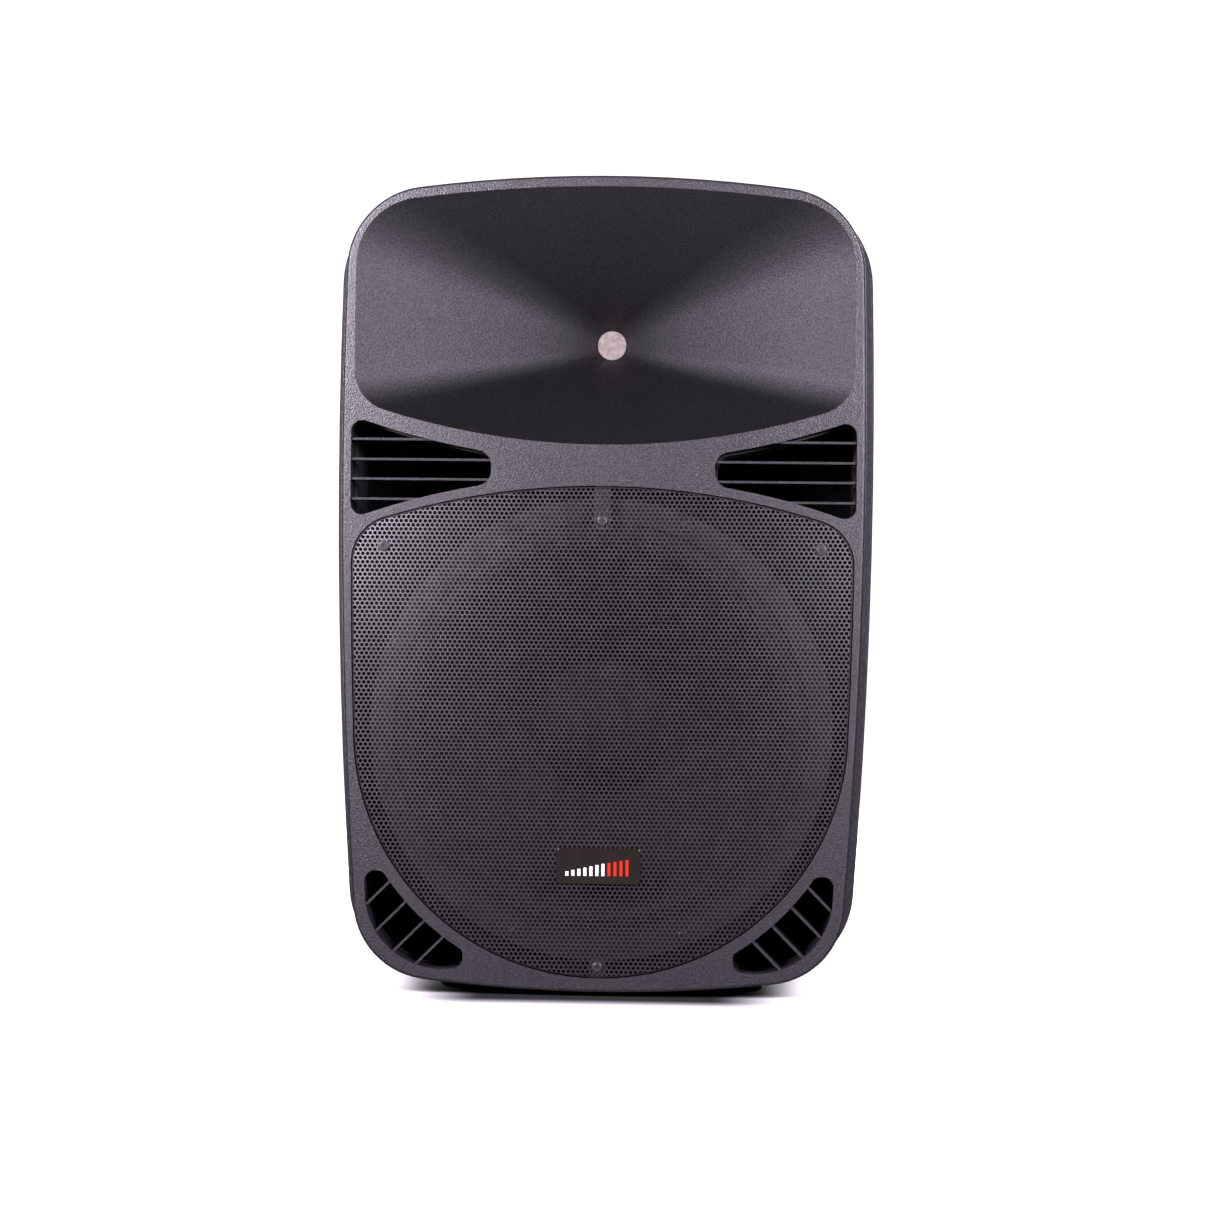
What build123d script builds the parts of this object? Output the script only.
from build123d import *
import os
from math import asin, cos, degrees, radians, sin, sqrt

os.makedirs("parts", exist_ok=True)

# ---------------------------------------------------------------------------
# Powered two-way loudspeaker cabinet: 15 inch woofer, 1 inch horn driver.
# Millimetres. +X to the right seen from the front, +Y to the back, +Z up.
# Origin on the floor, under the middle of the cabinet's depth.
# Names ending in _Y are depths, in _Z heights, in _R radii, in _T thicknesses.
# ---------------------------------------------------------------------------


def both_sides(points):
    """Each (x, other) point together with its mirror image across x = 0."""
    return [(side * x, other) for x, other in points for side in (-1, 1)]


def ring(radius, count, start_angle, centre):
    """Evenly spaced locations on a circle, each turned to face outwards."""
    angles = [start_angle + 360 / count * i for i in range(count)]
    return [
        Location(
            (centre[0] + radius * cos(radians(a)), centre[1] + radius * sin(radians(a)), 0),
            (0, 0, a),
        )
        for a in angles
    ]


# cabinet
Y_FRONT = -185.0          # front face of the baffle moulding
Y_SEAM = -145.0           # front rim of the rear shell
Y_BAND = -115.0           # end of the shell's straight band
Y_BACK = 185.0            # back face of the rear shell
BAFFLE_HALF = 218.7
BAFFLE_TOP = 684.5
BAFFLE_BOTTOM = 4.0
WALL = 4.5
SHELL_HALF = 226.4
SHELL_TOP = 686.0
SHELL_BOTTOM = 6.0
BACK_HALF = 152.0
BACK_TOP = 656.0
BACK_BOTTOM = 10.0
WIDE_Z = 450.0            # height of the widest point
SIDE_R = 5150.0
TOP_R = 1190.0
BOTTOM_R = 1238.0

# woofer
WOOFER_Z = 222.0
WOOFER_FRAME_R = 194.0
WOOFER_SEAT_Y = -165.0
WOOFER_RIM_Y = WOOFER_SEAT_Y - 4      # front of the basket's rim
WOOFER_GASKET_Y = WOOFER_RIM_Y - 4    # front of the gasket
WOOFER_BOLTS = ring(185.0, 8, 22.5, (0, WOOFER_Z))
CONE_R = 155.5
CAP_R = 58.0
CAP_RISE = 19.0
COIL_R = 32.4

# horn
HORN_Z = 555.0
THROAT_R = 12.7
THROAT_Y = -37.0
HORN_BACK_Y = -35.0
HORN_FLANGE_R = 46.0
HORN_BOLTS = both_sides([(38, HORN_Z)])

# grille
GRILLE_FRONT = -184.5
GRILLE_T = 1.2
GRILLE_R = 205.8
GRILLE_POSTS = both_sides([(182.5, 374.0)])
GRILLE_SCREWS = GRILLE_POSTS + [(0.0, 396.6), (0.0, 25.0)]

# amplifier module
PANEL_W, PANEL_H, PANEL_T = 220.0, 340.0, 2.5
PANEL_Z = 330.0
PANEL_Y = 165.0           # seat of the panel in the shell's well
PANEL_FACE = PANEL_Y + PANEL_T
PANEL_SCREW_INSET = 4.5
PANEL_SCREW_PITCH = (PANEL_H - 2 * PANEL_SCREW_INSET) / 3
PANEL_SCREWS = both_sides([
    (PANEL_W / 2 - PANEL_SCREW_INSET, PANEL_Z + (i - 1.5) * PANEL_SCREW_PITCH)
    for i in range(4)
])

# fittings
POLE_Y = 10.0
POLE_BORE_R = 17.8
POLE_DEPTH = 80.0
POLE_FLANGE_Z = 8.5       # underside of the pole socket's flange
POLE_SCREWS = ring(35, 4, 45, (0, POLE_Y))
FOOT_SEAT_Z = 14.0
FOOT_R = 18.0
FEET = both_sides([(120.0, -112.0), (95.0, 125.0)])
SHELL_SCREWS = both_sides([(170.0, 643.0), (206.0, 500.0), (208.0, 300.0), (197.0, 125.0)])
SHELL_SCREW_Y = -131.0    # seat of the shell screws' heads
INSERTS = both_sides([(100.0, 585.0)]) + [(0.0, 90.0)]
INSERT_R = 8.0
HANDLE_Y = 20.0           # middle of the handles
HANDLE_SEAT_Z = 658.0     # ledges that carry the top handle
HANDLE_SCREWS = both_sides([(97, HANDLE_Y - 12), (97, HANDLE_Y + 12)])
HANDLE_ENDS = both_sides([(92, HANDLE_Y)])


def front(y):
    """Plane facing the front (-Y) at depth y; its x is +X and its y is +Z.

    Extruding by a negative amount goes to the back.
    """
    return Plane.XZ.offset(-y)


def save(piece, name):
    """Label a finished piece and write it."""
    piece.label = name
    export_step(piece, "parts/" + name + ".step")


# ---------------------------------------------------------------------------
# outlines
# ---------------------------------------------------------------------------
def corner_of(half, z_wide, r_side, z_end, r_end):
    """Where a bulged side meets the crowned top (r_end > 0) or bottom (r_end < 0)."""
    x = half
    for _ in range(30):
        z = z_end - x * x / (2 * r_end)
        x = half - (z - z_wide) ** 2 / (2 * r_side)
    return x, z


def crowned(half, z_wide, r_side, z_bot, r_bot, z_top, r_top, corner_r_bot, corner_r_top):
    """Closed outline of four shallow arcs with rounded corners."""
    x_high, z_high = corner_of(half, z_wide, r_side, z_top, r_top)
    x_low, z_low = corner_of(half, z_wide, r_side, z_bot, -r_bot)
    z_mid = (z_low + z_high) / 2
    x_mid = half - (z_mid - z_wide) ** 2 / (2 * r_side)
    with BuildSketch() as s:
        with BuildLine():
            ThreePointArc((-x_low, z_low), (0, z_bot), (x_low, z_low))
            ThreePointArc((x_low, z_low), (x_mid, z_mid), (x_high, z_high))
            ThreePointArc((x_high, z_high), (0, z_top), (-x_high, z_high))
            ThreePointArc((-x_high, z_high), (-x_mid, z_mid), (-x_low, z_low))
        make_face()
        fillet(s.vertices().sort_by(Axis.Y)[0:2], corner_r_bot)
        fillet(s.vertices().sort_by(Axis.Y)[-2:], corner_r_top)
    return s.sketch


def baffle_outline(inset=0.0):
    return crowned(
        BAFFLE_HALF - inset, WIDE_Z, SIDE_R, BAFFLE_BOTTOM + inset, BOTTOM_R - inset,
        BAFFLE_TOP - inset, TOP_R - inset, 66.0 - inset, 70.0 - inset,
    )


def shell_outline(inset=0.0):
    return crowned(
        SHELL_HALF - inset, WIDE_Z, SIDE_R, SHELL_BOTTOM + inset, BOTTOM_R - inset,
        SHELL_TOP - inset, TOP_R - inset, 74.0 - inset, 80.0 - inset,
    )


def back_outline(inset=0.0):
    return crowned(
        BACK_HALF - inset, 380.0, 6000.0, BACK_BOTTOM + inset, 2200.0,
        BACK_TOP - inset, 1500.0, 60.0 - inset, 60.0 - inset,
    )


def grille_outline(grow=0.0):
    """Round at the bottom, following the woofer, and crowned at the top."""
    r = GRILLE_R + grow
    x_side, z_side = 208.0 + grow, 292.0
    x_top = 209.3 + grow
    z_crown = 425.0 + grow
    z_top = z_crown - x_top ** 2 / (2 * (597.0 + grow))
    with BuildSketch() as s:
        with BuildLine():
            ThreePointArc((-r, WOOFER_Z), (0, WOOFER_Z - r), (r, WOOFER_Z))
            ThreePointArc((r, WOOFER_Z), (x_side, z_side), (x_top, z_top))
            ThreePointArc((x_top, z_top), (0, z_crown), (-x_top, z_top))
            ThreePointArc((-x_top, z_top), (-x_side, z_side), (-r, WOOFER_Z))
        make_face()
        fillet(s.vertices().sort_by(Axis.Y)[-2:], 38.0 + grow)
    return s.sketch


def upper_port(grow=0.0, both=True):
    """Wing-shaped port opening between horn and grille."""
    def upper_edge(x):
        return x, 1067.0 - sqrt(621.0 ** 2 - x * x)

    def lower_edge(x):
        return x, -172.0 + sqrt(606.0 ** 2 - x * x)

    x_in, x_mid, x_out = 93.3, 150, 211.0
    with BuildSketch() as s:
        with BuildLine():
            ThreePointArc(lower_edge(x_in), lower_edge(x_mid), lower_edge(x_out))
            Line(lower_edge(x_out), upper_edge(x_out))
            ThreePointArc(upper_edge(x_out), upper_edge(x_mid), upper_edge(x_in))
            Line(upper_edge(x_in), lower_edge(x_in))
        make_face()
        fillet(s.vertices().sort_by(Axis.X)[-2:], 9.5)
        fillet(s.vertices().sort_by(Axis.X)[0:2], 12.6)
        if grow:
            offset(amount=grow)
        if both:
            mirror(about=Plane.YZ)
    return s.sketch


def lower_port(grow=0.0, both=True):
    """Crescent-shaped port opening in the lower corner, outside the grille."""
    def round_edge(x):
        return x, WOOFER_Z - sqrt(216.4 ** 2 - x * x)

    inner_high, outer_high = round_edge(112.5), round_edge(180.3)
    outer_tip, outer_low = (196.2, 104.0), (195.4, 86.0)
    bottom_out, bottom_in = (128.0, 21.3), (112.8, 22.5)
    with BuildSketch() as s:
        with BuildLine():
            ThreePointArc(inner_high, round_edge(150), outer_high)
            Line(outer_high, outer_tip)
            Line(outer_tip, outer_low)
            ThreePointArc(outer_low, (176.5, 40.2), bottom_out)
            Line(bottom_out, bottom_in)
            Line(bottom_in, inner_high)
        make_face()
        corners = ((outer_tip, 9.0), (outer_high, 6.0), (bottom_in, 8.5), (inner_high, 5.5))
        for corner, radius in corners:
            fillet(s.vertices().sort_by_distance(corner)[0], radius)
        if grow:
            offset(amount=grow)
        if both:
            mirror(about=Plane.YZ)
    return s.sketch


def horn_section(t, grow=0.0):
    """Cross-section of the horn flare: t is 0 at the throat and 1 at the mouth."""
    spread = t ** 1.30
    at_mouth = t > 0.98

    def blend(throat, mouth):
        return throat + (mouth - throat) * spread

    return crowned(
        half=blend(THROAT_R, 208.8) + grow,
        z_wide=blend(HORN_Z, 540.0),
        r_side=SIDE_R if at_mouth else 1600.0,
        z_bot=blend(HORN_Z - THROAT_R, 460.0) - grow,
        r_bot=607.0 if at_mouth else blend(200.0, 607.0),
        z_top=blend(HORN_Z + THROAT_R, 675.6) + grow,
        r_top=TOP_R if at_mouth else blend(400.0, TOP_R),
        corner_r_bot=blend(11.5, 35.0) + grow,
        corner_r_top=blend(11.5, 56.0) + grow,
    )


def horn_y(t):
    return THROAT_Y + (Y_FRONT - THROAT_Y) * t


# outlines are drawn once, here, and reused by the pieces below
BAFFLE = baffle_outline()
BAFFLE_IN = baffle_outline(WALL)
SHELL = shell_outline()
SHELL_IN = shell_outline(WALL)
BACK = back_outline()
BACK_IN = back_outline(WALL)
SHELL_MID = shell_outline(2.2)
FLANGE_HOLE = baffle_outline(6.0)
SEAL_OUT = baffle_outline(1.3)
SEAL_IN = baffle_outline(5.6)
GRILLE = grille_outline()
GRILLE_SHEET_IN = grille_outline(-GRILLE_T)
GRILLE_WELL = grille_outline(0.9)
GRILLE_WALL = grille_outline(5.0)
UP_PORT = upper_port()
UP_COLLAR = upper_port(2.4)
UP_SLAT_AREA = upper_port(1.2)
UP_DUCT_OUT = upper_port(0.5, both=False)
UP_DUCT_IN = upper_port(-1.5, both=False)
UP_DUCT_RIM = upper_port(2.3, both=False)
LOW_PORT = lower_port()
LOW_COLLAR = lower_port(2.2)
LOW_SLAT_AREA = lower_port(1.2)
LOW_DUCT_OUT = lower_port(0.5, both=False)
LOW_DUCT_IN = lower_port(-1.5, both=False)
LOW_DUCT_RIM = lower_port(2.1, both=False)
HORN_T = [1.0, 0.8, 0.6, 0.4, 0.2, 0.0]
HORN_IN = [horn_section(t) for t in HORN_T]
HORN_OUT = [horn_section(t, 4.0) for t in HORN_T]


# ---------------------------------------------------------------------------
# shapes shared by several pieces
# ---------------------------------------------------------------------------
def turned(profile, centre_z, edge_chamfer=0.0):
    """Ring turned about the front-to-back axis at centre_z.

    The profile is a closed list of (radius, depth) points.
    """
    with BuildPart() as body:
        with BuildSketch(Plane.XY.offset(centre_z)):
            with BuildLine():
                Polyline(*profile, close=True)
            make_face()
        revolve(axis=Axis((0, 0, centre_z), (0, 1, 0)))
        if edge_chamfer:
            chamfer(body.edges().filter_by(GeomType.CIRCLE), edge_chamfer)
    return body.part


def rectangle_profile(r_in, r_out, y_front, y_back):
    return [(r_in, y_front), (r_out, y_front), (r_out, y_back), (r_in, y_back)]


def cross_head_screws(
    seat, places, outward, head_r, head_h, rounding, shank_r, shank_length,
    slot_length, slot_w, slot_depth,
):
    """Screws on a seat plane; outward is +1 or -1, the heads' side along its normal."""
    out_axis = Axis(seat.origin, seat.z_dir * outward)
    with BuildPart() as screws:
        with BuildSketch(seat):
            with Locations(*places):
                Circle(head_r)
        extrude(amount=outward * head_h)
        fillet(screws.faces().sort_by(out_axis)[-len(places):].edges(), rounding)
        with BuildSketch(seat):
            with Locations(*places):
                Circle(shank_r)
        extrude(amount=-outward * shank_length)
        with BuildSketch(seat.offset(outward * head_h)):
            with Locations(*places):
                Rectangle(slot_length, slot_w)
                Rectangle(slot_w, slot_length)
        extrude(amount=-outward * slot_depth, mode=Mode.SUBTRACT)
    return screws.part


# ---------------------------------------------------------------------------
# front baffle: one moulding with the horn flare, the ports and the grille well
# ---------------------------------------------------------------------------
RIB_Y = Y_FRONT + 3       # inner features start here, inside the front wall
SLAT_Y = Y_FRONT + 2.2
SLAT_DEPTH = 24
UPPER_SLATS = both_sides([(150, z) for z in (463.4, 446.6, 430.2, 413.4)])
# middles of the slanting slats in the right-hand lower port, (x, z)
LOWER_SLATS = [(183.4, 84.8), (172.8, 65.0), (158.0, 48.4), (139.3, 37.8)]
TONGUE_Y = GRILLE_FRONT + GRILLE_T + 0.1    # front of the grille's posts and tongues

with BuildPart() as front_baffle:
    with BuildSketch(front(Y_FRONT)):
        add(BAFFLE)
    extrude(amount=-39)
    fillet(front_baffle.faces().sort_by(Axis.Y)[0].edges(), 2.6)
    with BuildSketch(front(Y_FRONT + WALL)):
        add(BAFFLE_IN)
    extrude(amount=-40, mode=Mode.SUBTRACT)
    # well that holds the grille
    with BuildSketch(front(RIB_Y)):
        add(GRILLE_WALL)
    extrude(amount=-21.5)
    # port collars
    with BuildSketch(front(RIB_Y)):
        add(UP_COLLAR)
        add(LOW_COLLAR)
    extrude(amount=-31)
    # bosses for the shell screws
    with BuildSketch(front(RIB_Y)):
        with Locations(*SHELL_SCREWS):
            Circle(6.5)
        add(BAFFLE_IN, mode=Mode.INTERSECT)
    extrude(amount=-36)
    # outside of the horn flare
    for t, section in zip(HORN_T, HORN_OUT):
        with BuildSketch(front(max(horn_y(t), RIB_Y))):
            add(section)
    loft()
    # horn throat flange
    with BuildSketch(front(HORN_BACK_Y - 7)):
        with Locations((0, HORN_Z)):
            Circle(HORN_FLANGE_R)
    extrude(amount=-7)
    # seat ring for the woofer screws
    with BuildSketch(front(WOOFER_SEAT_Y)):
        with Locations((0, WOOFER_Z)):
            Circle(197)
    extrude(amount=-15)
    # open the horn
    for t, section in zip(HORN_T, HORN_IN):
        with BuildSketch(front(horn_y(t))):
            add(section)
    loft(mode=Mode.SUBTRACT)
    # open the grille well and the woofer hole
    with BuildSketch(front(Y_FRONT - 1)):
        add(GRILLE_WELL)
    extrude(amount=-(WOOFER_SEAT_Y - Y_FRONT + 1), mode=Mode.SUBTRACT)
    with BuildSketch(front(WOOFER_SEAT_Y - 1)):
        with Locations((0, WOOFER_Z)):
            Circle(172)
    extrude(amount=-30, mode=Mode.SUBTRACT)
    # open the ports
    with BuildSketch(front(Y_FRONT - 1)):
        add(UP_PORT)
        add(LOW_PORT)
    extrude(amount=-40, mode=Mode.SUBTRACT)
    # throat bore, with the screen's recess behind it
    with BuildSketch(front(THROAT_Y - 2)):
        with Locations((0, HORN_Z)):
            Circle(THROAT_R)
    extrude(amount=-10, mode=Mode.SUBTRACT)
    with BuildSketch(front(HORN_BACK_Y)):
        with Locations((0, HORN_Z)):
            Circle(15.2)
    extrude(amount=1.2, mode=Mode.SUBTRACT)
    # louvres across the ports
    with BuildSketch(front(SLAT_Y)):
        with Locations(*UPPER_SLATS):
            Rectangle(130, 1.9)
        add(UP_SLAT_AREA, mode=Mode.INTERSECT)
    extrude(amount=-SLAT_DEPTH)
    with BuildSketch(front(SLAT_Y)):
        for slat_x, slat_z in LOWER_SLATS:
            for side in (-1, 1):
                with Locations(Location((side * slat_x, slat_z), -45.0 * side)):
                    Rectangle(64, 2.0)
        add(LOW_SLAT_AREA, mode=Mode.INTERSECT)
    extrude(amount=-SLAT_DEPTH)
    # grille fixings: two posts in the upper corners, a tongue at top and bottom
    with BuildSketch(front(TONGUE_Y)):
        with Locations(*GRILLE_POSTS):
            Circle(6)
    extrude(amount=-(WOOFER_SEAT_Y - GRILLE_FRONT - GRILLE_T))
    with BuildSketch(front(TONGUE_Y)):
        with Locations((0, 408.5)):
            RectangleRounded(14, 38, 5)
        with Locations((0, 22)):
            RectangleRounded(14, 22, 5)
    extrude(amount=-4)
    # pilot holes: grille, woofer and shell screws, then the horn driver's bolts
    with BuildSketch(front(Y_FRONT - 1)):
        with Locations(*GRILLE_SCREWS):
            Circle(1.6)
    extrude(amount=-14, mode=Mode.SUBTRACT)
    with BuildSketch(front(WOOFER_SEAT_Y - 1)):
        with Locations(*WOOFER_BOLTS):
            Circle(2.5)
    extrude(amount=-14, mode=Mode.SUBTRACT)
    with BuildSketch(front(Y_SEAM - 1)):
        with Locations(*SHELL_SCREWS):
            Circle(2.1)
    extrude(amount=11, mode=Mode.SUBTRACT)
    with BuildSketch(front(HORN_BACK_Y + 1)):
        with Locations(*HORN_BOLTS):
            Circle(3.2)
    extrude(amount=12, mode=Mode.SUBTRACT)
save(front_baffle.part, "front_baffle")

# ---------------------------------------------------------------------------
# rear shell: tapered back with amplifier well, handle pockets and screw tunnels
# ---------------------------------------------------------------------------
SIDE_TILT = radians(14.0)     # the side walls close in towards the back
CUP_LIFT = 14                 # the side cups sit this much above their mouths
SHELL_FLOOR = Plane.XY
ABOVE_SHELL = Plane.XY.offset(700)


def side_plane(side):
    """Plane on a side wall (side +1 right, -1 left), normal outwards.

    Its x runs to the back; its y is up on the right wall and down on the left.
    """
    return Plane(
        origin=(side * 193.0, HANDLE_Y, 430.0),
        x_dir=(-side * sin(SIDE_TILT), cos(SIDE_TILT), 0),
        z_dir=(side * cos(SIDE_TILT), sin(SIDE_TILT), 0),
    )


def side_planes(distance):
    """Both side planes, moved outwards by the distance."""
    return side_plane(1).offset(distance), side_plane(-1).offset(distance)


with BuildPart() as shell_outer:
    with BuildSketch(front(Y_SEAM)):
        add(SHELL)
    extrude(amount=-(Y_BAND - Y_SEAM))
    with BuildSketch(front(Y_BAND)):
        add(SHELL)
    with BuildSketch(front(Y_BACK)):
        add(BACK)
    loft()
    fillet(shell_outer.faces().sort_by(Axis.Y)[-1].edges(), 26)
    fillet(shell_outer.faces().sort_by(Axis.Y)[0].edges(), 2)

with BuildPart() as shell_inner:
    with BuildSketch(front(Y_SEAM - 1)):
        add(SHELL_IN)
    extrude(amount=-(Y_BAND - Y_SEAM + 1))
    with BuildSketch(front(Y_BAND)):
        add(SHELL_IN)
    with BuildSketch(front(Y_BACK - WALL)):
        add(BACK_IN)
    loft()
    fillet(shell_inner.faces().sort_by(Axis.Y)[-1].edges(), 22)

# everything that thickens the wall from inside, cut back to the outer skin
with BuildPart() as shell_bosses:
    # tubes round the screw tunnels
    with BuildSketch(front(Y_SEAM)):
        with Locations(*SHELL_SCREWS):
            Circle(10)
    extrude(amount=-170)
    # frame of the amplifier well
    with BuildSketch(front(PANEL_Y - 5)):
        with Locations((0, PANEL_Z)):
            RectangleRounded(PANEL_W + 20, PANEL_H + 20, 12)
    extrude(amount=-30)
    # bosses of the bracket inserts
    with BuildSketch(front(Y_BACK - 30)):
        with Locations(*INSERTS):
            Circle(14)
    extrude(amount=-30)
    # foot pads and pole socket pad
    with BuildSketch(SHELL_FLOOR):
        with Locations(*FEET):
            Circle(22)
    extrude(amount=18.4)
    with BuildSketch(SHELL_FLOOR):
        with Locations((0, POLE_Y)):
            Circle(52)
    extrude(amount=20)
    # handle cups
    with BuildSketch(*side_planes(-46)):
        with Locations((0, CUP_LIFT)):
            RectangleRounded(162, 116, 20)
    extrude(amount=60)
    with BuildSketch(Plane.XY.offset(620)):
        with Locations((0, HANDLE_Y)):
            RectangleRounded(222, 92, 18)
    extrude(amount=70)
    add(shell_outer.part, mode=Mode.INTERSECT)

with BuildPart() as rear_shell:
    add(shell_outer.part)
    add(shell_inner.part, mode=Mode.SUBTRACT)
    add(shell_bosses.part)
    # inward flange that the baffle and its seal close against
    with BuildSketch(front(Y_SEAM)):
        add(SHELL_MID)
        add(FLANGE_HOLE, mode=Mode.SUBTRACT)
    extrude(amount=-4)
    # amplifier well and opening
    with BuildSketch(front(PANEL_Y)):
        with Locations((0, PANEL_Z)):
            RectangleRounded(PANEL_W + 4, PANEL_H + 4, 6)
    extrude(amount=-40, mode=Mode.SUBTRACT)
    with BuildSketch(front(PANEL_Y - 6)):
        with Locations((0, PANEL_Z)):
            RectangleRounded(PANEL_W - 18, PANEL_H - 18, 6)
    extrude(amount=-10, mode=Mode.SUBTRACT)
    # screw tunnels, open towards the back
    with BuildSketch(front(SHELL_SCREW_Y)):
        with Locations(*SHELL_SCREWS):
            Circle(5.6)
    extrude(amount=-200, mode=Mode.SUBTRACT)
    with BuildSketch(front(Y_SEAM - 1)):
        with Locations(*SHELL_SCREWS):
            Circle(2.7)
    extrude(amount=-20, mode=Mode.SUBTRACT)
    # threaded-insert holes
    with BuildSketch(front(Y_BACK + 1)):
        with Locations(*INSERTS):
            Circle(INSERT_R)
    extrude(amount=23, mode=Mode.SUBTRACT)
    # foot seats, pole socket seat, hole and screw pilots
    with BuildSketch(Plane.XY.offset(FOOT_SEAT_Z)):
        with Locations(*FEET):
            Circle(FOOT_R + 0.4)
    extrude(amount=-20, mode=Mode.SUBTRACT)
    with BuildSketch(Plane.XY.offset(12)):
        with Locations((0, POLE_Y)):
            Circle(45.4)
    extrude(amount=-20, mode=Mode.SUBTRACT)
    with BuildSketch(Plane.XY.offset(30)):
        with Locations((0, POLE_Y)):
            Circle(23.4)
    extrude(amount=-30, mode=Mode.SUBTRACT)
    with BuildSketch(Plane.XY.offset(21)):
        with Locations(*POLE_SCREWS):
            Circle(2.1)
    extrude(amount=-20, mode=Mode.SUBTRACT)
    # side handle pockets: a mouth, and a wider cup behind it
    with BuildSketch(*side_planes(20)):
        RectangleRounded(146, 72, 20)
    extrude(amount=-60, mode=Mode.SUBTRACT)
    with BuildSketch(*side_planes(-14)):
        with Locations((0, CUP_LIFT)):
            RectangleRounded(146, 100, 20)
    extrude(amount=-26, mode=Mode.SUBTRACT)
    # top handle pocket with a ledge and screw pilots at each end
    with BuildSketch(ABOVE_SHELL):
        with Locations((0, HANDLE_Y)):
            RectangleRounded(160, 78, 16)
    extrude(amount=-74, mode=Mode.SUBTRACT)
    with BuildSketch(ABOVE_SHELL):
        with Locations(*HANDLE_ENDS):
            RectangleRounded(28, 38, 5)
    extrude(amount=-42, mode=Mode.SUBTRACT)
    with BuildSketch(ABOVE_SHELL):
        with Locations(*HANDLE_SCREWS):
            Circle(2.1)
    extrude(amount=-60, mode=Mode.SUBTRACT)
    # panel screw pilots
    with BuildSketch(front(PANEL_Y + 1)):
        with Locations(*PANEL_SCREWS):
            Circle(1.7)
    extrude(amount=8, mode=Mode.SUBTRACT)
save(rear_shell.part, "rear_shell")

# ---------------------------------------------------------------------------
# seam seal and port ducts
# ---------------------------------------------------------------------------
DUCT_Y = -151             # front end of the ducts, behind the port collars

with BuildPart() as shell_seal:
    with BuildSketch(front(Y_SEAM - 1)):
        add(SEAL_OUT)
        add(SEAL_IN, mode=Mode.SUBTRACT)
    extrude(amount=-1)
save(shell_seal.part, "shell_seal")


def port_ducts(rim, outside, bore, length, name):
    """A duct with a rim at its front end, and its mirror image on the left."""
    with BuildPart() as right:
        with BuildSketch(front(DUCT_Y)):
            add(rim)
            add(bore, mode=Mode.SUBTRACT)
        extrude(amount=-2.5)
        with BuildSketch(front(DUCT_Y)):
            add(outside)
            add(bore, mode=Mode.SUBTRACT)
        extrude(amount=-length)
    save(right.part, name + "_right")
    with BuildPart() as left:
        add(right.part)
        mirror(about=Plane.YZ, mode=Mode.REPLACE)
    save(left.part, name + "_left")


port_ducts(UP_DUCT_RIM, UP_DUCT_OUT, UP_DUCT_IN, 71, "upper_port_duct")
port_ducts(LOW_DUCT_RIM, LOW_DUCT_OUT, LOW_DUCT_IN, 86, "lower_port_duct")

# ---------------------------------------------------------------------------
# grille, its screws and the badge
# ---------------------------------------------------------------------------
BADGE_W, BADGE_H, BADGE_Z = 70.0, 30.0, 109.0
BADGE_PINS = both_sides([(24, BADGE_Z)])

with BuildPart() as grille:
    with BuildSketch(front(GRILLE_FRONT)):
        add(GRILLE)
    extrude(amount=-GRILLE_T)
    with BuildSketch(front(GRILLE_FRONT)):
        add(GRILLE)
        add(GRILLE_SHEET_IN, mode=Mode.SUBTRACT)
    extrude(amount=-7.5)
    # the folded rim is relieved where the fixing tongues pass under it
    with BuildSketch(front(GRILLE_FRONT + GRILLE_T)):
        with Locations((0, 425), (0, 16)):
            Rectangle(17, 16)
    extrude(amount=-8, mode=Mode.SUBTRACT)
    with BuildSketch(front(GRILLE_FRONT - 1)):
        with Locations(*GRILLE_SCREWS):
            Circle(1.9)
        with Locations(*BADGE_PINS):
            Circle(1.4)
    extrude(amount=-4, mode=Mode.SUBTRACT)
save(grille.part, "grille")

save(cross_head_screws(
    front(GRILLE_FRONT), GRILLE_SCREWS, outward=1,
    head_r=4.4, head_h=1.9, rounding=1.2, shank_r=1.5, shank_length=8.5,
    slot_length=4.2, slot_w=0.9, slot_depth=1.1,
), "grille_screws")

with BuildPart() as badge:
    with BuildSketch(front(GRILLE_FRONT)):
        with Locations((0, BADGE_Z)):
            RectangleRounded(BADGE_W, BADGE_H, 3)
    extrude(amount=2.2)
    fillet(badge.faces().sort_by(Axis.Y)[0].edges(), 0.9)
    with BuildSketch(front(GRILLE_FRONT)):
        with Locations(*BADGE_PINS):
            Circle(1.2)
    extrude(amount=-3.5)
save(badge.part, "badge")

# ---------------------------------------------------------------------------
# woofer, turned about its own axis: profiles are (radius, depth)
# ---------------------------------------------------------------------------
WOOFER_PLANE = Plane.XY.offset(WOOFER_Z)
WOOFER_AXIS = Axis((0, 0, WOOFER_Z), (0, 1, 0))
BASKET_BACK_R = 98
TOP_PLATE_Y = -66         # front of the magnet's top plate, back of the basket
MAGNET_Y = -58            # front of the magnet
POLE_PLATE_Y = -38        # front of the pole piece's plate

BASKET_PROFILE = [
    (167, WOOFER_RIM_Y), (WOOFER_FRAME_R, WOOFER_RIM_Y), (WOOFER_FRAME_R, WOOFER_SEAT_Y),
    (171, WOOFER_SEAT_Y), (171, -149), (BASKET_BACK_R, -77), (BASKET_BACK_R, TOP_PLATE_Y),
    (45, TOP_PLATE_Y), (45, -72), (93, -72), (93, -79), (167, -151),
]
# corners of one window between the ribs: (radius, angle from its middle)
WINDOW_CORNERS = ((108, 15.5), (160, 16.5), (160, -16.5), (108, -15.5))

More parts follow.
